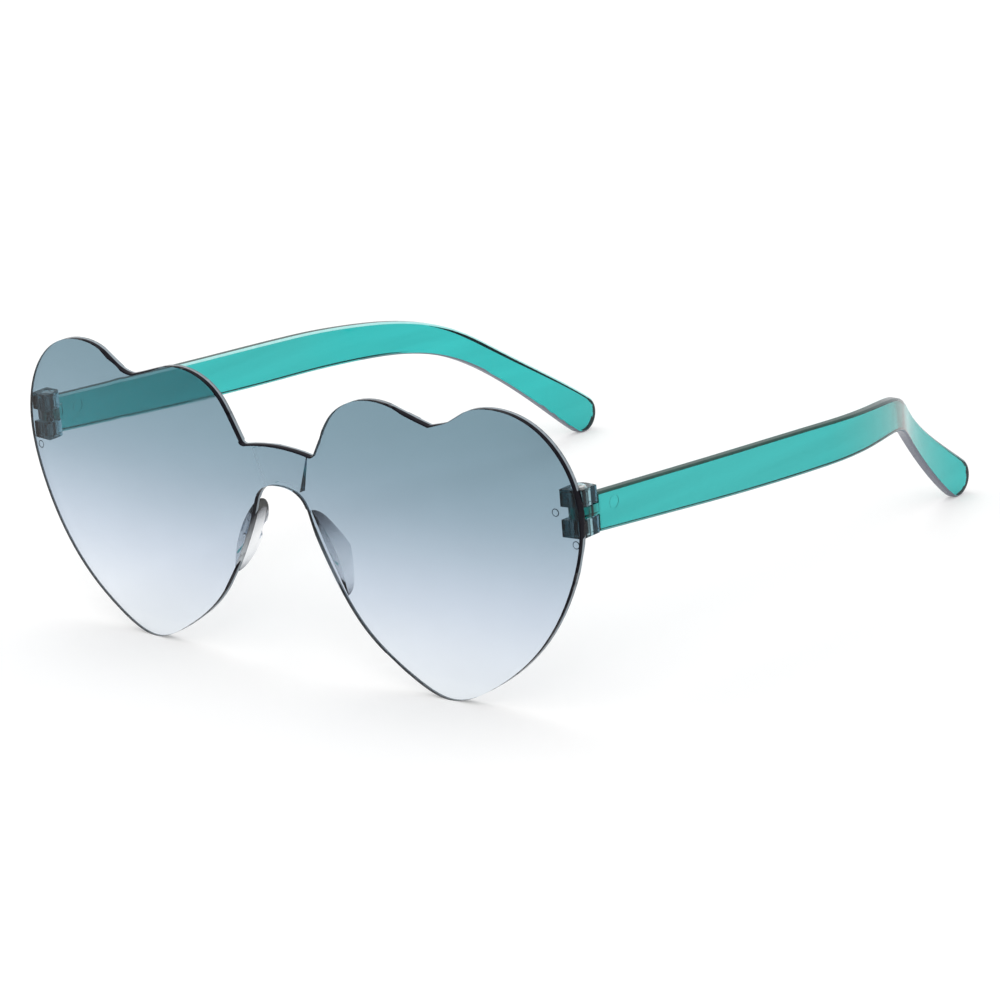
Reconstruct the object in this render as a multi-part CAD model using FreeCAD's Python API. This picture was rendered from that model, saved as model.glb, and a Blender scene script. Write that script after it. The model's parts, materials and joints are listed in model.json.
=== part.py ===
import FreeCAD, Part
import math
import os

from FreeCAD import Vector

os.makedirs("parts", exist_ok=True)

# Heart shaped sunglasses standing on their two heart tips and two temple tips.
# X runs across the front, the front faces -Y, the temples reach back along +Y, and Z is up.
# Left and right are the wearer's, so the left half lies at +X.

# Front sheet
front_width = 144.4
lens_height = 59.5
lens_thickness = 1.8
front_curve_radius = 600.0
cleft_round = 0.9
notch_round = 1.1

# Heart outline: shares of half the front width and of the lens height
bridge_notch_shares = (0.129, 0.748)
inner_lobe_shares = ((0.165, 0.827), (0.212, 0.908), (0.363, 0.973), (0.468, 0.944))
cleft_shares = (0.539, 0.918)
outer_lobe_shares = ((0.604, 0.939), (0.657, 0.978), (0.741, 1.000), (0.864, 0.964))
outer_side_shares = ((0.970, 0.825), (0.999, 0.656), (0.967, 0.472), (0.849, 0.225), (0.681, 0.059))
tip_shares = (0.539, 0.0)
inner_side_shares = ((0.420, 0.054), (0.261, 0.200), (0.159, 0.387), (0.100, 0.545))
arch_corner_shares = ((0.085, 0.587), (0.061, 0.613))
bridge_top_share = 0.765
arch_top_share = 0.629

# Bridge web: the back of the bridge thickens downwards between two slanted steps
web_top_half_width = 7.1
web_low_half_width = 4.7
web_inset = 0.5
web_foot_drop = 1.3
web_top_rise = 0.3
web_low_rise = 1.5

# Moulding marks: shallow round pin marks on the back of the lens and on the temple
mark_radius = 0.8
mark_depth = 0.12
inner_mark_gap = 1.1
outer_mark_out = 0.9
outer_mark_drop = 1.2
temple_mark_radius = 1.3
temple_mark_back = 5.6
temple_mark_rise = 4.2

# Hinge: two ears on the back of the lens, a tongue between them and one screw
hinge_inset = 2.8
hinge_low = 36.0
ear_height = 3.45
ear_gap = 2.5
axis_back = 2.5
ear_out = 2.5
ear_round = 2.1
ear_edge_round = 0.25

# Screw
shank_radius = 0.7
head_radius = 1.15
head_height = 0.7
head_sink = 0.1
head_clearance = 0.05
slot_width = 0.35
slot_depth = 0.35
screw_tail = 0.4
running_clearance = 0.05
thread_clearance = 0.02

# Temple: side outline by heights above the floor at shares of its reach
temple_thickness = 2.4
temple_edge_bevel = 0.4
temple_front_gap = 0.2
temple_reach = 139.0
temple_top_drop = 1.7
temple_stations_shares = (0.315, 0.630)
temple_top_heights = (39.9, 35.9)
temple_low_heights = (31.2, 27.9)
ear_top_share = 0.781
ear_top_height = 30.6
ear_low_share = 0.766
ear_low_height = 24.7
leg_top_share = 0.846
leg_top_height = 24.2
leg_low_share = 0.831
leg_low_height = 19.0
leg_angle = 36.6
tip_radius = 4.1

# Temple: plan bend towards the head, then back again
bend_start_share = 0.503
bend_angle = 29.2
bend_radius = 76.7
bend_run = 4.1
counter_radius = 61.6

# Tongue of the temple
tongue_clearance = 0.12
tongue_radius = 1.95
tongue_front = 1.4
tongue_corner_round = 0.8

# Nose pad: a leaf that stands on the back of the lens along the nose edge
pad_top_shares = (0.100, 0.560)
pad_low_shares = (0.206, 0.289)
pad_width = 1.9
pad_depth = 4.7
# Shares of one pad section: its depth, its length, its nose side and its outer side
pad_root_shares = (0.0, 1.0, -0.10, 0.90)
pad_section_shares = (
    (0.40, 0.92, 0.02, 0.90),
    (0.70, 0.73, 0.12, 0.86),
    (0.90, 0.48, 0.24, 0.78),
    (1.0, 0.22, 0.38, 0.66),
)

# Overrun of every cutting body
overrun = 5.0

half_width = front_width / 2
hinge_x = half_width - hinge_inset
hinge_high = hinge_low + 2 * ear_height + ear_gap
back_radius = front_curve_radius - lens_thickness
up = Vector(0, 0, 1)
back = Vector(0, 1, 0)
across = Vector(1, 0, 0)


def lens_back_y(x):
    """Depth of the back of the lens at a distance from the middle."""
    return front_curve_radius - math.sqrt(back_radius**2 - x**2)


axis_y = lens_back_y(hinge_x) + axis_back
temple_front_y = axis_y + ear_round + temple_front_gap
temple_outer_x = hinge_x + ear_out
temple_inner_x = temple_outer_x - temple_thickness


def outline_point(shares):
    """Point of the front outline from its two shares."""
    return Vector(shares[0] * half_width, 0, shares[1] * lens_height)


def mirrored_point(point):
    """The same point on the other half of the front."""
    return Vector(-point.x, point.y, point.z)


def smooth(points, start=None, end=None):
    """Smooth curve through points, with end directions where they are given."""
    curve = Part.BSplineCurve()
    if start is None:
        curve.interpolate(Points=points)
    else:
        curve.interpolate(Points=points, InitialTangent=start, FinalTangent=end)
    return curve.toShape()


def mirrored(shape):
    """The wearer's right hand copy of a left hand piece."""
    return shape.mirror(Vector(0, 0, 0), across)


def behind_lens():
    """Space behind the back of the lens sheet."""
    return Part.makeCylinder(back_radius, lens_height, Vector(0, front_curve_radius, 0), up)


def half_outline():
    """Outline points of one half: the inner lobe, then from the cleft round the outside to the arch."""
    notch = outline_point(bridge_notch_shares)
    cleft = outline_point(cleft_shares)
    inner_lobe = [notch] + [outline_point(s) for s in inner_lobe_shares] + [cleft]
    outer_lobe = [cleft] + [outline_point(s) for s in outer_lobe_shares + outer_side_shares]
    inner_side = [outline_point(s) for s in (tip_shares,) + inner_side_shares + arch_corner_shares]
    return inner_lobe, outer_lobe + inner_side


def front_outline():
    """Closed outline of both hearts with the bridge between them."""
    inner_lobe, lower_half = half_outline()
    bridge_top = Vector(0, 0, bridge_top_share * lens_height)
    arch_top = Vector(0, 0, arch_top_share * lens_height)
    notch = inner_lobe[0]
    lower = lower_half + [arch_top] + [mirrored_point(p) for p in reversed(lower_half)]
    edges = [
        Part.Arc(mirrored_point(notch), bridge_top, notch).toShape(),
        smooth(inner_lobe),
        smooth(lower),
        smooth([mirrored_point(p) for p in inner_lobe]),
    ]
    return Part.Wire(Part.__sortEdges__(edges))


def straight_back(edge):
    """Whether an edge of the cut-out prism runs straight back."""
    start, end = edge.Vertexes[0].Point, edge.Vertexes[-1].Point
    return abs(start.x - end.x) + abs(start.z - end.z) < abs(start.y - end.y)


def corner_edges(prism, shares, reach):
    """Edges of the cut-out prism at one corner of the outline, on both halves."""
    corner = outline_point(shares)
    found = []
    for edge in prism.Edges:
        point = edge.Vertexes[0].Point
        near = abs(abs(point.x) - corner.x) + abs(point.z - corner.z) < reach
        if near and straight_back(edge):
            found.append(edge)
    return found


def bridge_web():
    """Thickening on the back of the bridge, fuller at its lower edge."""
    middle = lens_thickness / 2
    top = bridge_top_share * lens_height - web_inset
    shoulder = bridge_notch_shares[1] * lens_height - web_inset
    arch = arch_top_share * lens_height + web_inset
    foot = arch - web_foot_drop
    corners = [
        Vector(-web_top_half_width, middle, shoulder),
        Vector(web_top_half_width, middle, shoulder),
        Vector(web_low_half_width, middle, foot),
        Vector(-web_low_half_width, middle, foot),
    ]
    edges = [
        Part.Arc(corners[0], Vector(0, middle, top), corners[1]).toShape(),
        Part.makeLine(corners[1], corners[2]),
        Part.Arc(corners[2], Vector(0, middle, arch), corners[3]).toShape(),
        Part.makeLine(corners[3], corners[0]),
    ]
    block = Part.Face(Part.Wire(edges)).extrude(back * overrun)
    slope = [
        Vector(-web_top_half_width, 0, top),
        Vector(-web_top_half_width, lens_thickness + web_top_rise, top),
        Vector(-web_top_half_width, lens_thickness + web_low_rise, foot),
        Vector(-web_top_half_width, 0, foot),
    ]
    wedge = Part.Face(Part.makePolygon(slope + slope[:1])).extrude(across * 2 * web_top_half_width)
    return block.common(wedge)


def pin_mark(x, z):
    """Cutting body of one round mark on the back of the lens."""
    start = Vector(x, lens_back_y(x) - mark_depth, z)
    return Part.makeCylinder(mark_radius, overrun, start, back)


def lens_front():
    """One piece front: two heart lenses and the bridge, cut from a curved sheet."""
    depth = lens_back_y(half_width) + 2 * overrun
    prism = Part.Face(front_outline()).extrude(back * depth)
    prism.translate(-back * overrun)
    prism = prism.makeFillet(cleft_round, corner_edges(prism, cleft_shares, cleft_round))
    prism = prism.makeFillet(notch_round, corner_edges(prism, bridge_notch_shares, notch_round))
    centre = Vector(0, front_curve_radius, -overrun)
    tall = lens_height + 2 * overrun
    outer = Part.makeCylinder(front_curve_radius, tall, centre, up)
    inner = Part.makeCylinder(back_radius, tall, centre, up)
    sheet = prism.common(outer.cut(inner)).Solids[0]
    sheet = sheet.fuse(bridge_web().Solids[0])
    for side in (1, -1):
        inner_x = hinge_x - ear_round - inner_mark_gap
        sheet = sheet.cut(pin_mark(side * inner_x, hinge_low + ear_height + ear_gap / 2))
        sheet = sheet.cut(pin_mark(side * (hinge_x + outer_mark_out), hinge_low - outer_mark_drop))
    return sheet.removeSplitter()


def pad_section(depth, shares):
    """Leaf shaped section of a nose pad at one depth."""
    top = outline_point(pad_top_shares) + back * depth
    low = outline_point(pad_low_shares) + back * depth
    middle = (top + low) / 2
    half = (low - top) / 2 * shares[1]
    outward = Vector(-half.z, 0, half.x).normalize() * pad_width
    ends = (middle - half, middle + half)
    sides = []
    for share in shares[2:]:
        side = Part.BezierCurve()
        side.setPoles([ends[0], middle + outward * 2 * share, ends[1]])
        sides.append(side.toShape())
    return Part.Wire(Part.__sortEdges__(sides))


def nose_pad():
    """Leaf shaped pad that narrows backwards, trimmed to the back of the lens."""
    root = lens_back_y(outline_point(pad_low_shares).x)
    sections = [pad_section(lens_thickness / 2, pad_root_shares)]
    for shares in pad_section_shares:
        sections.append(pad_section(root + shares[0] * pad_depth, shares))
    return Part.makeLoft(sections, True).common(behind_lens()).Solids[0]


def ear_plan(low):
    """Plan of a hinge ear: flat outside and behind, round about the screw on the inside."""
    front = -axis_back - lens_thickness
    turn = ear_round * math.sqrt(0.5)

    def place(out, behind):
        return Vector(hinge_x + out, axis_y + behind, low)

    corners = [
        place(-ear_round, 0),
        place(-ear_round, front),
        place(ear_out, front),
        place(ear_out, ear_round),
        place(0, ear_round),
    ]
    arc = Part.Arc(corners[-1], place(-turn, turn), corners[0]).toShape()
    return Part.Wire(Part.makePolygon(corners).Edges + [arc])


def hinge_ear(low):
    """Blank of one hinge ear, trimmed to the back of the lens."""
    ear = Part.Face(ear_plan(low)).extrude(up * ear_height)
    upright = [e for e in ear.Edges if abs(e.Vertexes[0].Z - e.Vertexes[-1].Z) > ear_height / 2]
    corner = [e for e in upright if e.Vertexes[0].Y > axis_y and e.Vertexes[0].X > hinge_x + ear_out / 2]
    ear = ear.makeFillet(ear_edge_round, corner)
    return ear.common(behind_lens()).Solids[0]


def hinge_bore(radius, low, height):
    """Cutting body along the hinge axis."""
    return Part.makeCylinder(radius, height, Vector(hinge_x, axis_y, low), up)


def upper_ear():
    """Upper hinge ear with the screw's clearance bore and the seat for its head."""
    low = hinge_low + ear_height + ear_gap
    ear = hinge_ear(low)
    ear = ear.cut(hinge_bore(shank_radius + running_clearance, low - overrun, ear_height + 2 * overrun))
    seat = hinge_high - head_sink - head_height
    return ear.cut(hinge_bore(head_radius + head_clearance, seat, ear_height))


def lower_ear():
    """Lower hinge ear with the bore that holds the screw."""
    ear = hinge_ear(hinge_low)
    return ear.cut(hinge_bore(shank_radius + thread_clearance, hinge_low - overrun, ear_height + 2 * overrun))


def hinge_screw():
    """Slotted screw on the hinge axis, its head sunk in the upper ear."""
    seat = hinge_high - head_sink - head_height
    foot = hinge_low + screw_tail
    screw = hinge_bore(head_radius, seat, head_height).fuse(hinge_bore(shank_radius, foot, seat - foot))
    slot_base = hinge_high - head_sink - slot_depth
    corner = Vector(hinge_x - slot_width / 2, axis_y - overrun, slot_base)
    slot = Part.makeBox(slot_width, 2 * overrun, overrun, corner)
    return screw.cut(slot).removeSplitter()


def temple_side():
    """Side outline of a temple: top, rounded tip and underside, as a face across the middle."""

    def place(share, height):
        return Vector(0, temple_front_y + share * temple_reach, height)

    angle = math.radians(leg_angle)
    run = Vector(0, math.cos(angle), -math.sin(angle))
    normal = Vector(0, math.sin(angle), math.cos(angle))
    centre = place(1.0, tip_radius)
    front_top = place(0, hinge_high - temple_top_drop)
    front_low = place(0, hinge_low)
    top = [front_top]
    low = [front_low]
    for share, high, under in zip(temple_stations_shares, temple_top_heights, temple_low_heights):
        top.append(place(share, high))
        low.append(place(share, under))
    top += [place(ear_top_share, ear_top_height), place(leg_top_share, leg_top_height)]
    low += [place(ear_low_share, ear_low_height), place(leg_low_share, leg_low_height)]
    top.append(centre + normal * tip_radius)
    low.append(centre - normal * tip_radius)
    upper = smooth(top, top[1] - top[0], run * temple_reach)
    under = smooth(low, low[1] - low[0], run * temple_reach)
    tip = Part.Arc(top[-1], centre + run * tip_radius, low[-1]).toShape()
    front = Part.makeLine(front_low, front_top)
    return Part.Face(Part.Wire(Part.__sortEdges__([upper, tip, under, front])))


def temple_face_plan(out):
    """Plan points along one face of a temple, at a distance outside its inner face."""
    angle = math.radians(bend_angle)
    end = temple_front_y + temple_reach + tip_radius + overrun

    def radial(turned):
        return Vector(math.cos(turned), math.sin(turned), 0)

    first = Vector(temple_inner_x + out, temple_front_y, 0)
    centre = Vector(temple_inner_x - bend_radius, temple_front_y + bend_start_share * temple_reach, 0)
    lead = Vector(-math.sin(angle), math.cos(angle), 0) * bend_run
    far = centre + radial(angle) * (bend_radius + temple_thickness + counter_radius) + lead
    bend = [centre + radial(turned) * (bend_radius + out) for turned in (0, angle / 2, angle)]
    counter_out = counter_radius + temple_thickness - out
    last = -math.asin((end - far.y) / counter_out)
    counter = [far - radial(turned) * counter_out for turned in (angle, (angle + last) / 2, last)]
    return [first] + bend + counter


def temple_plan():
    """Plan of a temple: straight from the hinge, bent towards the head, then bent back beyond the tip."""
    outer = temple_face_plan(temple_thickness)
    inner = temple_face_plan(0)
    edges = [Part.makeLine(inner[0], outer[0]), Part.makeLine(outer[-1], inner[-1])]
    for face in (outer, inner):
        edges.append(Part.makeLine(face[0], face[1]))
        edges.append(Part.Arc(face[1], face[2], face[3]).toShape())
        edges.append(Part.makeLine(face[3], face[4]))
        edges.append(Part.Arc(face[4], face[5], face[6]).toShape())
    return Part.Face(Part.Wire(Part.__sortEdges__(edges)))


def temple_tongue():
    """Tongue at the front of a temple that turns between the ears."""
    low = hinge_low + ear_height + tongue_clearance
    height = ear_gap - 2 * tongue_clearance
    barrel = hinge_bore(tongue_radius, low, height)
    depth = temple_front_y - axis_y + tongue_front + temple_thickness / 2
    web = Part.makeBox(ear_out, depth, height, Vector(hinge_x, axis_y - tongue_front, low))
    corner = [
        e
        for e in web.Edges
        if e.Vertexes[0].X > hinge_x and e.Vertexes[-1].X > hinge_x
        and e.Vertexes[0].Y < axis_y and e.Vertexes[-1].Y < axis_y
    ]
    web = web.makeFillet(tongue_corner_round, corner)
    bore = hinge_bore(shank_radius + running_clearance, low - overrun, height + 2 * overrun)
    return barrel.fuse(web).cut(bore)


def runs_back(edge):
    """Whether an edge of the temple blade runs along the temple and not straight up or across."""
    start, end = edge.Vertexes[0].Point, edge.Vertexes[-1].Point
    return not (isinstance(edge.Curve, Part.Line) and abs(start.y - end.y) < temple_front_gap)


def temple():
    """Temple that tapers, bends down behind the ear and in towards the head at once."""
    side = temple_side().extrude(across * (temple_outer_x + overrun))
    plan = temple_plan().extrude(up * lens_height)
    blade = side.common(plan).Solids[0]
    rim = [edge for edge in blade.Edges if runs_back(edge)]
    blade = blade.makeChamfer(temple_edge_bevel, rim)
    blade = blade.fuse(temple_tongue())
    mark_y = temple_front_y + temple_mark_back
    mark_base = Vector(temple_inner_x + mark_depth, mark_y, hinge_low + temple_mark_rise)
    blade = blade.cut(Part.makeCylinder(temple_mark_radius, overrun, mark_base, -across))
    return blade.removeSplitter()


def build():
    """Every piece by name, with the box of the whole centred on the origin."""
    pieces = {"lens_front": lens_front().Solids[0]}
    left_pieces = {
        "nose_pad": nose_pad(),
        "hinge_ear_upper": upper_ear(),
        "hinge_ear_lower": lower_ear(),
        "hinge_screw": hinge_screw(),
        "temple": temple(),
    }
    for name, shape in left_pieces.items():
        pieces[name + "_left"] = shape.Solids[0]
        pieces[name + "_right"] = mirrored(shape.Solids[0])
    box = Part.makeCompound(list(pieces.values())).optimalBoundingBox(False, False)
    centre = Vector(0, -(box.YMin + box.YMax) / 2, -box.ZMin)
    for shape in pieces.values():
        shape.translate(centre)
    return pieces


for node, solid in build().items():
    solid.exportStep("parts/" + node + ".step")
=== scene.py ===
"""Heart shaped sunglasses: finishes, rounded edges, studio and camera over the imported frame."""

from __future__ import annotations

import json
import logging
import math
from dataclasses import dataclass, field, replace
from enum import Enum, IntEnum
from typing import Any

import bmesh
import bpy
from mathutils import Matrix, Vector

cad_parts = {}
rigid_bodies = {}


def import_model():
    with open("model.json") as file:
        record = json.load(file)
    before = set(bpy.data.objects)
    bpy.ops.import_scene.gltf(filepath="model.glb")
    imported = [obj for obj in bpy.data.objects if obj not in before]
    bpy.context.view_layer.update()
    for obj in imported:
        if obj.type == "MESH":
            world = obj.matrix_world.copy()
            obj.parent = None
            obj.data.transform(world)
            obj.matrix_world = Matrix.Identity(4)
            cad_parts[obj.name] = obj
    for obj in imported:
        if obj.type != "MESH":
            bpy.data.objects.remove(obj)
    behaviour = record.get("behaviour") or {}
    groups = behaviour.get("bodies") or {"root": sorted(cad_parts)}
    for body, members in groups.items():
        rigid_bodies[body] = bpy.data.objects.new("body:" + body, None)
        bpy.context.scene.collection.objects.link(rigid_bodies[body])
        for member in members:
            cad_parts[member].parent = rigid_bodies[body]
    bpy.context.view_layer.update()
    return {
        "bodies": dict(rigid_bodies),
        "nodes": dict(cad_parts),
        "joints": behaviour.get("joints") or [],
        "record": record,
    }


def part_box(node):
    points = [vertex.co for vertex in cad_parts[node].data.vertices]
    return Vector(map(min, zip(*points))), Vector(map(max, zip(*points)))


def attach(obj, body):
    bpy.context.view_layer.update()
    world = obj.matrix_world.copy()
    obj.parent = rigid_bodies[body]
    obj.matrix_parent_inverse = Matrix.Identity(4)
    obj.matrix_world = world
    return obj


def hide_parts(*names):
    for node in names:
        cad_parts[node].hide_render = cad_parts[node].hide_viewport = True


LOG = logging.getLogger("sunglasses")
MM = 0.001
Colour = tuple[float, float, float]
Triple = tuple[float, float, float]
MERGE_REACH = 0.002 * MM
CUT_REACH = 0.001 * MM
SMOOTH_DEGREES = 35.0
NOISE_LOW = 0.3
NOISE_HIGH = 0.7
MIX_SHARE, MIX_RESULT, MIX_NEAR, MIX_FAR = 0, 2, 6, 7


class Side(Enum):
    """The wearer's two sides."""

    LEFT = "left"
    RIGHT = "right"


class Body(Enum):
    """The moving bodies of the frame."""

    FRONT = "front"
    TEMPLE_LEFT = "temple_left"
    TEMPLE_RIGHT = "temple_right"


class Axis(Enum):
    """Directions along which a finish changes."""

    DEPTH = "Y"
    HEIGHT = "Z"


class SheetFace(IntEnum):
    """Finishes of the front, in the order of its materials."""

    CLEAR = 0
    # The rim and the hinge rim are painted shade, the bonded wall painted shade fading to painted light.
    RIM = 1
    HINGE_RIM = 2
    BONDED_WALL = 3


class TempleFace(IntEnum):
    """Finishes of a temple, in the order of its materials."""

    BLADE = 0
    # The upper wall is painted shade, the low edge a painted reflection and the bright edge a painted highlight.
    UPPER_WALL = 1
    LOW_EDGE = 2
    PAINTED_HIGHLIGHT = 3


class NodeGraph:
    """A material's or world's node tree with short calls to add and join nodes."""

    def __init__(self, tree: bpy.types.NodeTree) -> None:
        """Start from an empty tree.

        Args:
            tree: the node tree to fill.
        """
        self.tree = tree
        self.tree.nodes.clear()

    def add(self, kind: str, **inputs: Any) -> bpy.types.Node:
        """Add one node and set its plain inputs.

        Args:
            kind: the node's type, without its ShaderNode prefix.
            inputs: socket values by name, with spaces written as underscores.

        Returns:
            The new node.
        """
        node = self.tree.nodes.new("ShaderNode" + kind)
        for name, value in inputs.items():
            node.inputs[name.replace("_", " ")].default_value = value
        return node

    def link(self, source: bpy.types.NodeSocket, target: bpy.types.NodeSocket) -> None:
        """Join an output to an input."""
        self.tree.links.new(source, target)

    def ramp(self, factor: bpy.types.NodeSocket, stops: list[tuple[float, Colour]]) -> bpy.types.NodeSocket:
        """Add a colour ramp.

        Args:
            factor: the value that runs along the ramp.
            stops: places from 0 to 1 with their colours.

        Returns:
            The ramp's colour.
        """
        node = self.add("ValToRGB")
        node.color_ramp.interpolation = "B_SPLINE"
        elements = node.color_ramp.elements
        while len(elements) < len(stops):
            elements.new(0.5)
        for element, (place, colour) in zip(elements, stops):
            element.position = place
            element.color = (*colour, 1.0)
        self.link(factor, node.inputs["Fac"])
        return node.outputs["Color"]

    def spread(self, value: bpy.types.NodeSocket, low: float, high: float) -> bpy.types.NodeSocket:
        """Map a value from the middle of 0 to 1 to a range.

        Args:
            value: the value, such as a noise.
            low: result for a low value.
            high: result for a high value.

        Returns:
            The mapped value.
        """
        return self.between(value, NOISE_LOW, NOISE_HIGH, low, high)

    def between(
        self, value: bpy.types.NodeSocket, start: float, end: float, low: float, high: float
    ) -> bpy.types.NodeSocket:
        """Map a value from one range to another and stop at the ends.

        Args:
            value: the value.
            start: value that gives low.
            end: value that gives high.
            low: first result.
            high: last result.

        Returns:
            The mapped value.
        """
        node = self.add("MapRange", From_Min=start, From_Max=end, To_Min=low, To_Max=high)
        self.link(value, node.inputs["Value"])
        return node.outputs["Result"]

    def scaled(self, colour: bpy.types.NodeSocket, share: bpy.types.NodeSocket) -> bpy.types.NodeSocket:
        """Darken a colour to a share of itself.

        Args:
            colour: the colour.
            share: the share from 0 to 1.

        Returns:
            The darker colour.
        """
        node = self.add("VectorMath")
        node.operation = "SCALE"
        self.link(colour, node.inputs[0])
        self.link(share, node.inputs["Scale"])
        return node.outputs["Vector"]

    def mixed(self, near: bpy.types.NodeSocket, far: Colour, share: bpy.types.NodeSocket) -> bpy.types.NodeSocket:
        """Mix a colour with a plain one.

        Args:
            near: the first colour.
            far: the plain colour.
            share: the share of the plain colour from 0 to 1.

        Returns:
            The mixed colour.
        """
        node = self.add("Mix")
        node.data_type = "RGBA"
        node.inputs[MIX_FAR].default_value = (*far, 1.0)
        self.link(share, node.inputs[MIX_SHARE])
        self.link(near, node.inputs[MIX_NEAR])
        return node.outputs[MIX_RESULT]

    def along(self, place: bpy.types.NodeSocket, axis: Axis) -> bpy.types.NodeSocket:
        """Take one coordinate of a position.

        Args:
            place: the position on the piece.
            axis: the coordinate's direction.

        Returns:
            The coordinate in metres.
        """
        split = self.add("SeparateXYZ")
        self.link(place, split.inputs["Vector"])
        return split.outputs[axis.value]

    def noise(self, place: bpy.types.NodeSocket, scale: Triple, detail: float = 3.0) -> bpy.types.NodeSocket:
        """Add a noise that can be stretched.

        Args:
            place: the position on the piece.
            scale: repeats in each metre along x, y and z.
            detail: number of finer layers.

        Returns:
            The noise, about 0.3 to 0.7.
        """
        stretch = self.add("Mapping", Scale=scale)
        node = self.add("TexNoise", Scale=1.0, Detail=detail, Roughness=0.6)
        self.link(place, stretch.inputs["Vector"])
        self.link(stretch.outputs["Vector"], node.inputs["Vector"])
        return node.outputs["Fac"]


def new_finish(name: str) -> tuple[bpy.types.Material, NodeGraph]:
    """Start a finish with no nodes.

    Args:
        name: the finish's name.

    Returns:
        The material and its nodes.
    """
    made = bpy.data.materials.new(name)
    made.use_nodes = True
    return made, NodeGraph(made.node_tree)


def put_in_scene(name: str, data: bpy.types.ID) -> bpy.types.Object:
    """Put a mesh, lamp or camera into the scene.

    Args:
        name: the object's name.
        data: what the object shows.

    Returns:
        The object, at the origin.
    """
    thing = bpy.data.objects.new(name, data)
    bpy.context.scene.collection.objects.link(thing)
    return thing


@dataclass(frozen=True)
class ClearPlastic:
    """Clear moulded plastic, tinted on its faces and darker along the way light takes through it.

    The handling haze is a faint change of roughness, and the flow lines are faint streaks and ripples.
    """

    name: str
    tint: Colour = (1.0, 1.0, 1.0)
    absorption: Colour = (1.0, 1.0, 1.0)
    density: float = 0.0
    gloss: float = 1.0
    ior: float = 1.58
    roughness: tuple[float, float] = (0.015, 0.06)
    haze: Triple = (70.0, 70.0, 70.0)
    haze_layers: float = 5.0
    streaks: Triple = (90.0, 25.0, 90.0)
    streak_shade: float = 0.94
    ripple_strength: float = 0.25
    ripple_height: float = 0.01 * MM

    def face_colour(self, graph: NodeGraph, place: bpy.types.NodeSocket) -> bpy.types.NodeSocket:
        """Tint before the streaks are laid over it.

        Args:
            graph: the material's nodes.
            place: the position on the piece, not used.

        Returns:
            The colour.
        """
        even = graph.add("RGB")
        even.outputs[0].default_value = (*self.tint, 1.0)
        return even.outputs[0]

    def material(self) -> bpy.types.Material:
        """Build the finish.

        Returns:
            The material.
        """
        made, graph = new_finish(self.name)
        place = graph.add("TexCoord").outputs["Object"]
        flow = graph.noise(place, self.streaks)
        shader = graph.add("BsdfPrincipled", IOR=self.ior, Transmission_Weight=1.0)
        shader.inputs["Specular Tint"].default_value = (self.gloss, self.gloss, self.gloss, 1.0)
        bump = graph.add("Bump", Strength=self.ripple_strength, Distance=self.ripple_height)
        out = graph.add("OutputMaterial")
        colour = graph.scaled(self.face_colour(graph, place), graph.spread(flow, self.streak_shade, 1.0))
        handling = graph.noise(place, self.haze, self.haze_layers)
        graph.link(colour, shader.inputs["Base Color"])
        graph.link(graph.spread(handling, *self.roughness), shader.inputs["Roughness"])
        graph.link(flow, bump.inputs["Height"])
        graph.link(bump.outputs["Normal"], shader.inputs["Normal"])
        graph.link(shader.outputs["BSDF"], out.inputs["Surface"])
        if self.density:
            volume = graph.add("VolumeAbsorption", Color=(*self.absorption, 1.0), Density=self.density)
            graph.link(volume.outputs["Volume"], out.inputs["Volume"])
        return made


@dataclass(frozen=True)
class FadedTint(ClearPlastic):
    """Clear plastic with a tint that changes with the height."""

    low: float = 0.0
    high: float = 59.5 * MM
    stops: tuple[tuple[float, Colour], ...] = ()

    def face_colour(self, graph: NodeGraph, place: bpy.types.NodeSocket) -> bpy.types.NodeSocket:
        """Tint at each height.

        Args:
            graph: the material's nodes.
            place: the position on the piece.

        Returns:
            The colour.
        """
        share = graph.between(graph.along(place, Axis.HEIGHT), self.low, self.high, 0.0, 1.0)
        return graph.ramp(share, list(self.stops))


@dataclass(frozen=True)
class PaintedShadeEndTint(ClearPlastic):
    """Clear plastic with painted shade at its front end, where it is closed in at the hinge."""

    shade_start: float = 0.0
    shade_end: float = 0.0
    shade: float = 0.3

    def face_colour(self, graph: NodeGraph, place: bpy.types.NodeSocket) -> bpy.types.NodeSocket:
        """Tint with the painted shade at the front end.

        Args:
            graph: the material's nodes.
            place: the position on the piece.

        Returns:
            The colour.
        """
        share = graph.between(graph.along(place, Axis.DEPTH), self.shade_start, self.shade_end, self.shade, 1.0)
        return graph.scaled(super().face_colour(graph, place), share)


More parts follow.
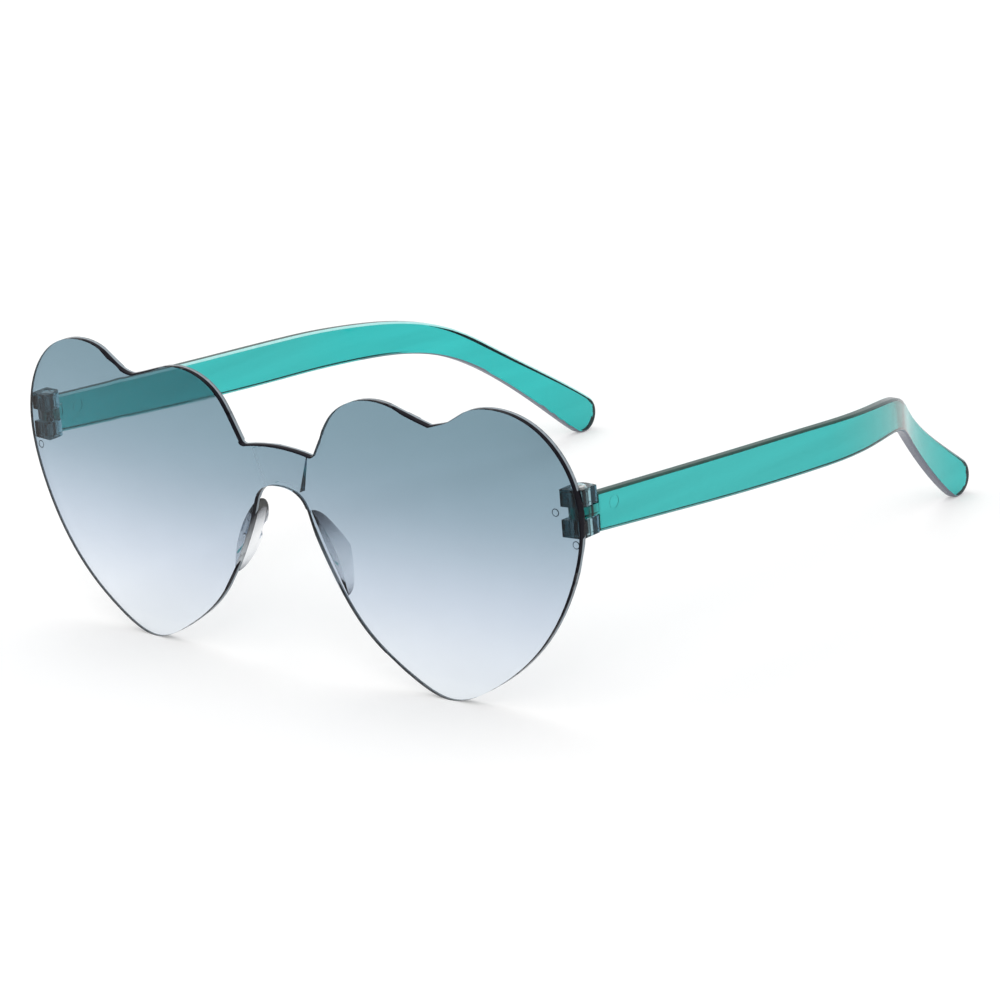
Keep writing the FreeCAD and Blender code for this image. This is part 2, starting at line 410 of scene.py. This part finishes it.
@dataclass(frozen=True)
class PaintedLightEdge:
    """Polished edge of a clear piece, darker than the faces in painted shade for the light it traps."""

    name: str
    light_tone: Colour
    dark_tone: Colour
    # The far tone is painted light along the edge.
    far_tone: Colour = (0.0, 0.0, 0.0)
    far_start: float = 1.0
    far_end: float = 2.0
    far_axis: Axis = Axis.DEPTH
    ior: float = 1.5
    mirror: float = 0.04
    roughness: tuple[float, float] = (0.10, 0.28)
    grain: Triple = (500.0, 500.0, 500.0)
    grain_layers: float = 4.0
    grain_strength: float = 0.15
    grain_height: float = 0.01 * MM

    def far_share(self, graph: NodeGraph, place: bpy.types.NodeSocket) -> bpy.types.NodeSocket:
        """Share of the far tone at a place.

        Args:
            graph: the material's nodes.
            place: the position on the piece.

        Returns:
            The share from 0 to 1.
        """
        return graph.between(graph.along(place, self.far_axis), self.far_start, self.far_end, 0.0, 1.0)

    def material(self) -> bpy.types.Material:
        """Build the finish.

        Returns:
            The material.
        """
        made, graph = new_finish(self.name)
        place = graph.add("TexCoord").outputs["Object"]
        grain = graph.noise(place, self.grain, self.grain_layers)
        shader = graph.add("BsdfPrincipled", IOR=self.ior, Specular_IOR_Level=self.mirror)
        bump = graph.add("Bump", Strength=self.grain_strength, Distance=self.grain_height)
        out = graph.add("OutputMaterial")
        tone = graph.ramp(grain, [(NOISE_LOW, self.dark_tone), (NOISE_HIGH, self.light_tone)])
        graph.link(graph.mixed(tone, self.far_tone, self.far_share(graph, place)), shader.inputs["Base Color"])
        graph.link(graph.spread(grain, *self.roughness), shader.inputs["Roughness"])
        graph.link(grain, bump.inputs["Height"])
        graph.link(bump.outputs["Normal"], shader.inputs["Normal"])
        graph.link(shader.outputs["BSDF"], out.inputs["Surface"])
        return made


@dataclass(frozen=True)
class SheetEdge(PaintedLightEdge):
    """Polished edge of a curved sheet, its far tone a painted highlight towards the back of the sheet.

    The far tone's start and end are distances to the axis of the curve.
    """

    axis_y: float = 0.0

    def far_share(self, graph: NodeGraph, place: bpy.types.NodeSocket) -> bpy.types.NodeSocket:
        """Share of the far tone, from the distance to the axis of the curve.

        Args:
            graph: the material's nodes.
            place: the position on the piece.

        Returns:
            The share from 0 to 1.
        """
        level = graph.add("Mapping", Location=(0.0, -self.axis_y, 0.0), Scale=(1.0, 1.0, 0.0))
        reach = graph.add("VectorMath")
        reach.operation = "LENGTH"
        graph.link(place, level.inputs["Vector"])
        graph.link(level.outputs["Vector"], reach.inputs[0])
        return graph.between(reach.outputs["Value"], self.far_start, self.far_end, 0.0, 1.0)


@dataclass(frozen=True)
class TurnedSteel:
    """Small steel screw with fine turning marks round its axis."""

    name: str
    colour: Colour
    axis: tuple[float, float]
    marks: float = 9000.0
    mark_wander: float = 1.5
    mark_layers: float = 2.0
    mark_strength: float = 0.2
    mark_height: float = 0.01 * MM
    roughness: tuple[float, float] = (0.16, 0.34)

    def material(self) -> bpy.types.Material:
        """Build the finish.

        Returns:
            The material.
        """
        made, graph = new_finish(self.name)
        place = graph.add("Mapping", Location=(-self.axis[0], -self.axis[1], 0.0))
        rings = graph.add("TexWave", Scale=self.marks, Distortion=self.mark_wander, Detail=self.mark_layers)
        rings.wave_type = "RINGS"
        rings.rings_direction = "Z"
        bump = graph.add("Bump", Strength=self.mark_strength, Distance=self.mark_height)
        shader = graph.add("BsdfPrincipled", Base_Color=(*self.colour, 1.0), Metallic=1.0)
        out = graph.add("OutputMaterial")
        graph.link(graph.add("TexCoord").outputs["Object"], place.inputs["Vector"])
        graph.link(place.outputs["Vector"], rings.inputs["Vector"])
        graph.link(rings.outputs["Fac"], bump.inputs["Height"])
        graph.link(graph.spread(rings.outputs["Fac"], *self.roughness), shader.inputs["Roughness"])
        graph.link(bump.outputs["Normal"], shader.inputs["Normal"])
        graph.link(shader.outputs["BSDF"], out.inputs["Surface"])
        return made


@dataclass(frozen=True)
class Edging:
    """How the sharp edges of a moulded piece are rounded."""

    radius: float
    sharp_degrees: float = 40.0
    segments: int = 3


class PieceMaker:
    """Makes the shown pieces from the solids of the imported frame."""

    def __init__(self, frame: dict[str, Any]) -> None:
        """Keep the frame.
        """
        self.nodes: dict[str, bpy.types.Object] = frame["nodes"]

    def copied(self, node: str) -> bmesh.types.BMesh:
        """Copy a solid and join its loose triangles.

        Args:
            node: the solid's name.

        Returns:
            The mesh to work on.
        """
        work = bmesh.new()
        work.from_mesh(self.nodes[node].data)
        bmesh.ops.remove_doubles(work, verts=work.verts, dist=MERGE_REACH)
        bmesh.ops.dissolve_degenerate(work, edges=work.edges, dist=MERGE_REACH)
        return work

    def round_edges(self, work: bmesh.types.BMesh, edges: list[bmesh.types.BMEdge], edging: Edging) -> None:
        """Round those of the edges that are sharp.

        Args:
            work: the mesh.
            edges: the edges to look at.
            edging: the rounding.
        """
        limit = math.radians(edging.sharp_degrees)
        sharp = [e for e in edges if len(e.link_faces) == 2 and e.calc_face_angle() > limit]
        bmesh.ops.bevel(
            work,
            geom=sharp,
            offset=edging.radius,
            offset_type="OFFSET",
            segments=edging.segments,
            profile=0.5,
            affect="EDGES",
            material=-1,
            loop_slide=False,
            clamp_overlap=False,
        )
        bmesh.ops.remove_doubles(work, verts=work.verts, dist=MERGE_REACH)

    def placed(self, work: bmesh.types.BMesh, name: str, node: str, body: Body, slot: str) -> bpy.types.Object:
        """Turn a worked mesh into a shown piece in place of its solid.

        Args:
            work: the finished mesh, which is freed.
            name: the piece's name.
            node: the solid that it stands for.
            body: the body that it moves with.
            slot: the record's material slot, not used.

        Returns:
            The piece.
        """
        mesh = bpy.data.meshes.new(name)
        for face in work.faces:
            face.smooth = True
        for edge in work.edges:
            edge.smooth = edge.calc_face_angle(0.0) < math.radians(SMOOTH_DEGREES)
        work.to_mesh(mesh)
        work.free()
        piece = put_in_scene(name, mesh)
        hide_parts(node)
        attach(piece, body.value)
        return piece

    def even_shading(self, piece: bpy.types.Object) -> None:
        """Let the broad faces of a piece rule the shading of its rounded edges.

        Args:
            piece: the piece.
        """
        normals = piece.modifiers.new("even_shading", "WEIGHTED_NORMAL")
        normals.weight = 100
        normals.keep_sharp = True


@dataclass
class HeartFront:
    """The one piece tinted front with its two hearts and bridge."""

    maker: PieceMaker
    finish: FadedTint
    edge_finish: SheetEdge
    hinge_finish: PaintedLightEdge
    bonded_finish: PaintedLightEdge
    edging: Edging = Edging(radius=0.34 * MM)
    curve_radius: float = 600.0 * MM
    thickness: float = 1.8 * MM
    arch_half_width: float = 3.6 * MM
    pad_end: float = 1.5 * MM
    ring_width: float = 0.18 * MM
    strip_width: float = 6.0 * MM
    mark_places: tuple[float, ...] = (66.2 * MM, 70.3 * MM)
    mark_depth: float = 0.3 * MM
    mark_flatness: float = 0.999
    mark_lean: float = 0.997
    broad_lean: float = 0.985
    back_lean: float = 0.5
    wall_lean: float = 0.3
    arch_drop: float = 0.85
    level_reach: float = 0.05 * MM
    sheet_reach: float = 0.02 * MM
    upright_reach: float = 0.005 * MM
    axis_y: float = field(init=False)
    pad_box: tuple[Any, Any] = field(init=False)
    hinge_box: tuple[Any, Any] = field(init=False)

    def __post_init__(self) -> None:
        """Find the axis of the curved sheet and the places of a nose pad and a hinge."""
        self.axis_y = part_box("lens_front")[0][1] + self.curve_radius
        self.pad_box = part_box("nose_pad_left")
        self.hinge_box = (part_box("hinge_ear_lower_left")[0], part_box("hinge_ear_upper_left")[1])

    def outward(self, point: Vector) -> Vector:
        """Direction straight out of the sheet's front at a point."""
        return Vector((point.x, point.y - self.axis_y, 0.0)).normalized()

    def depth(self, point: Vector) -> float:
        """Distance of a point behind the sheet's front face."""
        return self.curve_radius - math.hypot(point.x, point.y - self.axis_y)

    def lean(self, face: bmesh.types.BMFace) -> float:
        """How far a face looks out of the front, from 1 for front faces to -1 for back faces."""
        return face.normal.dot(self.outward(face.calc_center_median()))

    def is_broad(self, face: bmesh.types.BMFace) -> bool:
        """Whether a face is part of the broad front or back of the sheet.

        Args:
            face: the face.

        Returns:
            True for a face that lies on the front or back curve.
        """
        depth = self.depth(face.calc_center_median())
        level = min(abs(depth), abs(depth - self.thickness)) < self.level_reach
        return abs(self.lean(face)) > self.broad_lean and level and not self.is_mark_floor(face)

    def is_wall(self, face: bmesh.types.BMFace) -> bool:
        """Whether a face is part of the wall round the sheet.

        Args:
            face: the face.

        Returns:
            True for a face that stands across the sheet from front to back.
        """
        depths = [self.depth(vertex.co) for vertex in face.verts]
        spans = max(depths) - min(depths) > self.thickness / 2 and min(depths) < self.thickness / 4
        return spans and abs(self.lean(face)) < self.wall_lean

    def is_diagonal(self, edge: bmesh.types.BMEdge) -> bool:
        """Whether an edge only splits a broad face or a plain wall panel into triangles.

        Args:
            edge: the edge.

        Returns:
            True if the edge can go.
        """
        if len(edge.link_faces) != 2:
            return False
        if all(self.is_broad(face) for face in edge.link_faces):
            return True
        run = edge.verts[1].co - edge.verts[0].co
        slants = math.hypot(run.x, run.z) > self.upright_reach
        return slants and all(self.is_wall(face) for face in edge.link_faces)

    def finish_of(self, face: bmesh.types.BMFace) -> SheetFace:
        """Choose the finish of one face of the rounded sheet.

        Args:
            face: the face.

        Returns:
            The finish: the rim's painted shade is for the front rim and the wall behind it.
        """
        centre = face.calc_center_median()
        lean = self.lean(face)
        depth = self.depth(centre)
        reach = abs(centre.x)
        # The wall behind each nose pad takes painted shade fading to painted light.
        low, high = self.pad_box
        if reach < high[0] and low[2] + self.pad_end < centre.z < high[2] - self.pad_end:
            bonded = abs(lean) < self.wall_lean and depth < self.thickness
            return SheetFace.BONDED_WALL if bonded else SheetFace.CLEAR
        arch = reach < self.arch_half_width and face.normal.z < -self.arch_drop
        if arch or depth > self.thickness or not -self.back_lean < lean < self.broad_lean:
            return SheetFace.CLEAR
        # The rest of the rim takes painted shade.
        low, high = self.hinge_box
        at_hinge = reach > low[0] and low[2] < centre.z < high[2]
        return SheetFace.HINGE_RIM if at_hinge else SheetFace.RIM

    def is_mark_floor(self, face: bmesh.types.BMFace) -> bool:
        """Whether a face is part of the flat sunk floor of a round pin mark.

        Args:
            face: the face.

        Returns:
            True for a flat face that lies a little inside the back of the sheet.
        """
        sink = self.thickness - self.depth(face.calc_center_median())
        flat = face.normal.y > self.mark_flatness and self.lean(face) > -self.mark_lean
        return flat and 0.0 < sink < self.mark_depth

    def mark_rings(self, work: bmesh.types.BMesh) -> list[bmesh.types.BMFace]:
        """Narrow ring round the floor of each round pin mark.

        Args:
            work: the sheet.

        Returns:
            The faces of the rings.
        """
        paired = [edge for edge in work.edges if len(edge.link_faces) == 2]
        inner = [edge for edge in paired if all(self.is_mark_floor(face) for face in edge.link_faces)]
        bmesh.ops.dissolve_edges(work, edges=inner, use_verts=True)
        floors = [face for face in work.faces if self.is_mark_floor(face)]
        return bmesh.ops.inset_individual(work, faces=floors, thickness=self.ring_width)["faces"]

    def cut_upright(self, work: bmesh.types.BMesh, places: list[float]) -> set[bmesh.types.BMEdge]:
        """Cut through the sheet from top to bottom.

        Args:
            work: the sheet.
            places: distances of the cuts from the middle.

        Returns:
            The edges along the cuts.
        """
        edges: set[bmesh.types.BMEdge] = set()
        for place in places:
            cut = bmesh.ops.bisect_plane(
                work,
                geom=work.verts[:] + work.edges[:] + work.faces[:],
                dist=CUT_REACH,
                plane_co=Vector((place, 0.0, 0.0)),
                plane_no=Vector((1.0, 0.0, 0.0)),
            )
            edges.update(part for part in cut["geom_cut"] if isinstance(part, bmesh.types.BMEdge))
        return edges

    def clear_diagonals(self, work: bmesh.types.BMesh) -> None:
        """Join the triangles of the broad faces, cut through the web and the marks so that no face has a hole.

        Args:
            work: the sheet.
        """
        kept = self.cut_upright(work, [0.0, *self.mark_places, *(-place for place in self.mark_places)])
        diagonals = [edge for edge in work.edges if edge not in kept and self.is_diagonal(edge)]
        bmesh.ops.dissolve_edges(work, edges=diagonals, use_verts=True)

    def cut_strips(self, work: bmesh.types.BMesh) -> None:
        """Cut the broad faces into upright strips that follow the curve of the sheet.

        Args:
            work: the sheet.
        """
        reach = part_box("lens_front")[1][0]
        steps = int(2 * reach / self.strip_width)
        self.cut_upright(work, [2 * reach * step / steps - reach for step in range(1, steps)])

    def true_curve(self, mesh: bpy.types.Mesh) -> None:
        """Shade both broad faces and their rims as the true curve of the sheet.

        Args:
            mesh: the sheet's mesh.
        """
        shading = [Vector(corner.vector) for corner in mesh.corner_normals]
        sheet = [p for p in mesh.polygons if self.depth(p.center) < self.thickness + self.sheet_reach]
        facing: dict[int, float] = {}
        for face in sheet:
            lean = face.normal.dot(self.outward(face.center))
            if abs(lean) > self.broad_lean:
                facing.update((index, math.copysign(1.0, lean)) for index in face.vertices)
        for face in sheet:
            for corner, index in zip(face.loop_indices, face.vertices):
                if index in facing:
                    shading[corner] = self.outward(mesh.vertices[index].co) * facing[index]
        mesh.normals_split_custom_set(shading)

    def build(self) -> bpy.types.Object:
        """Make the sheet and dress it.

        Returns:
            The front.
        """
        work = self.maker.copied("lens_front")
        self.clear_diagonals(work)
        rim = [e for e in work.edges if sum(self.is_wall(f) for f in e.link_faces) == 1]
        self.maker.round_edges(work, rim, self.edging)
        self.cut_strips(work)
        for face in work.faces:
            face.material_index = self.finish_of(face)
        # The rim's painted shade also outlines each pin mark.
        for face in self.mark_rings(work):
            face.material_index = SheetFace.RIM
        piece = self.maker.placed(work, "heart_front", "lens_front", Body.FRONT, "tinted_lens")
        self.true_curve(piece.data)
        edge = replace(self.edge_finish, axis_y=self.axis_y)
        for part in (self.finish, edge, self.hinge_finish, self.bonded_finish):
            piece.data.materials.append(part.material())
        return piece


@dataclass
class FittedPair:
    """A pair of mirrored pieces bonded to the back of the front."""

    maker: PieceMaker
    stem: str
    slot: str
    finish: ClearPlastic
    edging: Edging = Edging(radius=0.12 * MM)
    glue_gap: float = 0.02 * MM
    bonded_lean: float = 0.95

    def leave_glue_gap(self, work: bmesh.types.BMesh) -> None:
        """Hold the bonded face a hair behind the sheet, as the glue does.

        Args:
            work: the piece.
        """
        bonded = {vertex for face in work.faces if face.normal.y < -self.bonded_lean for vertex in face.verts}
        bmesh.ops.translate(work, verts=list(bonded), vec=Vector((0.0, self.glue_gap, 0.0)))

    def build(self) -> list[bpy.types.Object]:
        """Make both pieces and dress them alike.

        Returns:
            The left piece and the right piece.
        """
        material = self.finish.material()
        pieces = []
        for side in Side:
            node = f"{self.stem}_{side.value}"
            work = self.maker.copied(node)
            self.leave_glue_gap(work)
            self.maker.round_edges(work, work.edges[:], self.edging)
            piece = self.maker.placed(work, f"fitted_{node}", node, Body.FRONT, self.slot)
            piece.data.materials.append(material)
            self.maker.even_shading(piece)
            pieces.append(piece)
        return pieces


@dataclass
class HingeScrews:
    """The two slotted screws on the hinge axes."""

    maker: PieceMaker
    colour: Colour
    axis_x: float
    axis_y: float
    edging: Edging = Edging(radius=0.06 * MM, segments=2)

    def build(self) -> list[bpy.types.Object]:
        """Make both screws, each turned about its own axis.

        Returns:
            The left screw and the right screw.
        """
        pieces = []
        for side, sign in ((Side.LEFT, 1.0), (Side.RIGHT, -1.0)):
            node = f"hinge_screw_{side.value}"
            finish = TurnedSteel(f"turned_steel_{side.value}", self.colour, (sign * self.axis_x, self.axis_y))
            work = self.maker.copied(node)
            self.maker.round_edges(work, work.edges[:], self.edging)
            piece = self.maker.placed(work, f"turned_{node}", node, Body.FRONT, "screw_steel")
            piece.data.materials.append(finish.material())
            self.maker.even_shading(piece)
            pieces.append(piece)
        return pieces


@dataclass
class Temples:
    """The two folding temples."""

    maker: PieceMaker
    finish: ClearPlastic
    edge_finish: PaintedLightEdge
    low_edge_finish: PaintedLightEdge
    highlight_finish: PaintedLightEdge
    tongue_end: float
    bend_start: float = 22.0 * MM
    mark_place: tuple[float, float] = (-60.63 * MM, 40.21 * MM)
    mark_reach: float = 1.5 * MM
    end_lean: float = 0.7
    low_lean: float = 0.5
    outer_lean: float = 0.3
    edge_lean: float = 0.25
    inner_lean: float = 0.2
    edging: Edging = Edging(radius=0.15 * MM, sharp_degrees=25.0, segments=2)

    def near_mark(self, point: Vector) -> bool:
        """Whether a point belongs to the round pin mark inside the blade."""
        return math.hypot(point.y - self.mark_place[0], point.z - self.mark_place[1]) < self.mark_reach

    def finish_of(self, face: bmesh.types.BMFace) -> TempleFace:
        """Choose the finish of one face.

        Args:
            face: the face.

        Returns:
            The finish: the blade's is also for the tongue and the straight lower wall, the low edge's painted
                reflection for
            the bent lower wall and the walls of the pin mark, the upper wall's painted shade for the top and the ends,
            and the painted highlight for the inner top edge.
        """
        centre = face.calc_center_median()
        if centre.y < self.tongue_end:
            return TempleFace.BLADE
        if self.near_mark(centre):
            return TempleFace.LOW_EDGE if abs(face.normal.x) < self.end_lean else TempleFace.BLADE
        outward = face.normal.x * math.copysign(1.0, centre.x)
        # Painted highlight on the inner rounding of the top edge.
        if face.normal.z > self.edge_lean and outward < -self.inner_lean:
            return TempleFace.PAINTED_HIGHLIGHT
        # Painted shade on the top wall and the ends.
        if face.normal.z > self.edge_lean or abs(face.normal.y) > self.end_lean:
            return TempleFace.UPPER_WALL
        # Painted reflection on the bent lower wall and the outer lower edge.
        low_wall = face.normal.z < -self.low_lean and centre.y > self.bend_start
        low_edge = face.normal.z < -self.edge_lean and outward > self.outer_lean
        return TempleFace.LOW_EDGE if low_wall or low_edge else TempleFace.BLADE

    def build(self) -> list[bpy.types.Object]:
        """Make both temples and dress them alike.

        Returns:
            The left temple and the right temple.
        """
        edges = (self.edge_finish, self.low_edge_finish, self.highlight_finish)
        materials = [part.material() for part in (self.finish, *edges)]
        pieces = []
        for body in (Body.TEMPLE_LEFT, Body.TEMPLE_RIGHT):
            work = self.maker.copied(body.value)
            outline = [e for e in work.edges if not any(self.near_mark(v.co) for v in e.verts)]
            self.maker.round_edges(work, outline, self.edging)
            for face in work.faces:
                face.material_index = self.finish_of(face)
            piece = self.maker.placed(work, f"moulded_{body.value}", body.value, body, "teal_temple")
            for material in materials:
                piece.data.materials.append(material)
            self.maker.even_shading(piece)
            pieces.append(piece)
        return pieces


@dataclass(frozen=True)
class Lamp:
    """One soft area lamp of the studio."""

    name: str
    place: Triple
    size: float
    power: float


@dataclass
class Studio:
    """Plain pale floor, soft light and the camera at the photograph's viewing angle."""

    floor_radius: float = 6.0
    floor_sides: int = 96
    floor_grain: float = 400.0
    floor_colour: Colour = (0.74, 0.74, 0.74)
    floor_lift: float = 0.29
    sky_level: float = 0.92
    lamps: tuple[Lamp, ...] = (
        Lamp("key_lamp", (-0.6, 0.3, 1.6), 1.0, 4.0),
        Lamp("side_lamp", (0.9, -1.0, 1.2), 0.6, 2.0),
    )
    camera_place: Triple = (0.6679, -0.7608, 0.3310)
    camera_right: Triple = (0.7590, 0.6468, -0.0742)
    camera_up: Triple = (-0.1409, 0.2745, 0.9512)
    camera_lens: float = 186.3
    sensor: float = 36.0
    nearest: float = 0.01
    farthest: float = 50.0

    def seen_directly(self, graph: NodeGraph) -> bpy.types.NodeSocket:
        """One for rays that show the stage itself, straight, mirrored or through clear plastic.

        Args:
            graph: the nodes to add to.

        Returns:
            The value.
        """
        path = graph.add("LightPath")
        seen = path.outputs["Is Camera Ray"]
        for kind in ("Is Glossy Ray", "Is Transmission Ray"):
            most = graph.add("Math")
            most.operation = "MAXIMUM"
            graph.link(seen, most.inputs[0])
            graph.link(path.outputs[kind], most.inputs[1])
            seen = most.outputs[0]
        return seen

    def build_sky(self) -> None:
        """White surroundings that are a little dimmer as a light."""
        world = bpy.data.worlds.new("white_surroundings")
        bpy.context.scene.world = world
        world.use_nodes = True
        graph = NodeGraph(world.node_tree)
        level = graph.add("MapRange", To_Min=self.sky_level, To_Max=1.0)
        sky = graph.add("Background", Color=(1.0, 1.0, 1.0, 1.0))
        out = graph.add("OutputWorld")
        graph.link(self.seen_directly(graph), level.inputs["Value"])
        graph.link(level.outputs["Result"], sky.inputs["Strength"])
        graph.link(sky.outputs["Background"], out.inputs["Surface"])

    def build_floor(self) -> None:
        """Pale matt floor that stays near white and keeps the soft shadow."""
        work = bmesh.new()
        bmesh.ops.create_circle(work, cap_ends=True, segments=self.floor_sides, radius=self.floor_radius)
        mesh = bpy.data.meshes.new("pale_floor")
        work.to_mesh(mesh)
        work.free()
        floor = put_in_scene("pale_floor", mesh)
        made, graph = new_finish("pale_floor")
        grain = graph.add("TexNoise", Scale=self.floor_grain, Detail=3.0)
        shader = graph.add("BsdfDiffuse", Color=(*self.floor_colour, 1.0))
        lift = graph.add("Emission", Color=(1.0, 1.0, 1.0, 1.0))
        level = graph.add("MapRange", To_Min=0.0, To_Max=self.floor_lift)
        total = graph.add("AddShader")
        out = graph.add("OutputMaterial")
        graph.link(graph.add("TexCoord").outputs["Object"], grain.inputs["Vector"])
        graph.link(graph.spread(grain.outputs["Fac"], 0.0, 0.1), shader.inputs["Roughness"])
        graph.link(self.seen_directly(graph), level.inputs["Value"])
        graph.link(level.outputs["Result"], lift.inputs["Strength"])
        graph.link(shader.outputs["BSDF"], total.inputs[0])
        graph.link(lift.outputs["Emission"], total.inputs[1])
        graph.link(total.outputs["Shader"], out.inputs["Surface"])
        mesh.materials.append(made)

    def build_lamps(self) -> None:
        """Large soft lamps turned to the object."""
        for lamp in self.lamps:
            light = bpy.data.lights.new(lamp.name, "AREA")
            light.shape = "DISK"
            light.size = lamp.size
            light.energy = lamp.power
            holder = put_in_scene(lamp.name, light)
            holder.location = lamp.place
            holder.rotation_euler = Vector(lamp.place).to_track_quat("Z", "Y").to_euler()

    def build_camera(self) -> None:
        """Camera where the photograph was taken from."""
        data = bpy.data.cameras.new("photo_camera")
        data.lens = self.camera_lens
        data.sensor_width = self.sensor
        data.clip_start = self.nearest
        data.clip_end = self.farthest
        holder = put_in_scene("photo_camera", data)
        right = Vector(self.camera_right).normalized()
        up = Vector(self.camera_up)
        up = (up - right * up.dot(right)).normalized()
        turned = Matrix((right, up, right.cross(up))).transposed()
        holder.matrix_world = Matrix.Translation(self.camera_place) @ turned.to_4x4()
        bpy.context.scene.camera = holder

    def build(self) -> None:
        """Set the whole stage."""
        self.build_sky()
        self.build_floor()
        self.build_lamps()
        self.build_camera()
        bpy.context.scene.view_settings.view_transform = "Standard"


LENS_TINT = FadedTint(
    name="dyed_lens",
    gloss=0.15,
    streak_shade=0.98,
    stops=(
        (0.08, (0.92, 0.96, 1.0)),
        (0.30, (0.66, 0.73, 0.84)),
        (0.55, (0.335, 0.43, 0.515)),
        (0.75, (0.235, 0.345, 0.415)),
        (1.00, (0.180, 0.285, 0.340)),
    ),
)
# Lens rim: painted shade for the light trapped in the polished edge, with a painted highlight on the back of the wall
# as its far tone.
LENS_EDGE = SheetEdge(
    name="lens_edge_painted_shade_and_highlight",
    light_tone=(0.014, 0.013, 0.018),
    dark_tone=(0.006, 0.006, 0.009),
    far_tone=(0.32, 0.37, 0.41),
    far_start=599.0 * MM,
    far_end=598.85 * MM,
)
# Lens rim at the hinges: painted shade for the light trapped in the edge.
HINGE_EDGE = PaintedLightEdge("lens_hinge_edge_painted_shade", LENS_EDGE.light_tone, LENS_EDGE.dark_tone)
# Wall of the sheet behind each nose pad: painted shade at the top, fading to pale painted light lower down.
BONDED_EDGE = PaintedLightEdge(
    name="bonded_wall_painted_shade_and_light",
    light_tone=(0.030, 0.030, 0.036),
    dark_tone=(0.020, 0.020, 0.025),
    far_tone=(0.52, 0.55, 0.58),
    far_start=30.0 * MM,
    far_end=22.0 * MM,
    far_axis=Axis.HEIGHT,
)
# Nose pads: smoky clear plastic with painted shade darkening both ends, clear in the middle.
PAD_SMOKE_AND_SHADE = FadedTint(
    name="smoky_pad_painted_shade",
    absorption=(0.35, 0.38, 0.42),
    density=110.0,
    gloss=0.4,
    low=17.1 * MM,
    high=33.4 * MM,
    stops=(
        (0.00, (0.05, 0.05, 0.07)),
        (0.13, (0.80, 0.83, 0.86)),
        (0.42, (1.00, 1.00, 1.00)),
        (0.66, (0.72, 0.74, 0.77)),
        (0.84, (0.16, 0.16, 0.19)),
        (1.00, (0.05, 0.05, 0.06)),
    ),
)
# Hinge ears: smoky clear plastic with painted shade over their front half, behind the lens.
EAR_SMOKE_AND_SHADE = PaintedShadeEndTint(
    name="smoky_ear_and_painted_shade",
    tint=(0.84, 0.97, 1.0),
    absorption=(0.30, 0.62, 0.68),
    density=280.0,
    gloss=0.15,
    shade_start=-70.4 * MM,
    shade_end=-67.8 * MM,
    shade=0.05,
)
# Temples: teal clear plastic with painted shade on the tongue between the hinge ears.
TEMPLE_TEAL_AND_SHADE = PaintedShadeEndTint(
    name="teal_temple",
    tint=(0.55, 0.95, 0.96),
    absorption=(0.07, 0.79, 0.775),
    density=1150.0,
    gloss=0.3,
    streaks=(60.0, 9.0, 260.0),
    streak_shade=0.86,
    shade_start=-67.5 * MM,
    shade_end=-65.5 * MM,
)
# Upper wall and ends of each temple: painted shade, turning to a grey painted reflection towards the tip.
TEMPLE_EDGE = PaintedLightEdge(
    name="temple_upper_wall_painted_shade_and_reflection",
    light_tone=(0.045, 0.105, 0.092),
    dark_tone=(0.026, 0.066, 0.058),
    far_tone=(0.21, 0.23, 0.25),
    far_start=10.0 * MM,
    far_end=45.0 * MM,
)
# Bent lower wall of each temple and the pin mark's walls: opaque teal, turning to a mauve-grey painted reflection
# towards the tip.
TEMPLE_LOW_EDGE = PaintedLightEdge(
    name="temple_low_edge_painted_reflection",
    light_tone=(0.170, 0.400, 0.400),
    dark_tone=(0.120, 0.330, 0.330),
    far_tone=(0.24, 0.25, 0.30),
    far_start=10.0 * MM,
    far_end=40.0 * MM,
)
# Inner rounding of each temple's top edge: a painted highlight line.
TEMPLE_PAINTED_HIGHLIGHT = PaintedLightEdge("temple_edge_painted_highlight", (0.55, 0.92, 0.90), (0.42, 0.80, 0.78))
SCREW_STEEL: Colour = (0.62, 0.61, 0.60)
BONDED_PAIRS = (
    ("nose_pad", "smoke_pad", PAD_SMOKE_AND_SHADE),
    ("hinge_ear_upper", "smoke_ear", EAR_SMOKE_AND_SHADE),
    ("hinge_ear_lower", "smoke_ear", EAR_SMOKE_AND_SHADE),
)


def main() -> None:
    """Build and report every piece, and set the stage."""
    logging.basicConfig(level=logging.INFO)
    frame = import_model()
    maker = PieceMaker(frame)
    axis = frame["joints"][0]["pos_m"]
    pieces = [HeartFront(maker, LENS_TINT, LENS_EDGE, HINGE_EDGE, BONDED_EDGE).build()]
    for stem, slot, finish in BONDED_PAIRS:
        pieces += FittedPair(maker, stem, slot, finish).build()
    pieces += HingeScrews(maker, SCREW_STEEL, axis[0], axis[1]).build()
    tongue_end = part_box("hinge_ear_upper_left")[1][1]
    pieces += Temples(maker, TEMPLE_TEAL_AND_SHADE, TEMPLE_EDGE, TEMPLE_LOW_EDGE, TEMPLE_PAINTED_HIGHLIGHT, tongue_end).build()
    for piece in pieces:
        LOG.info("%s: %d faces", piece.name, len(piece.data.polygons))
    Studio().build()


if __name__ == "__main__":
    main()
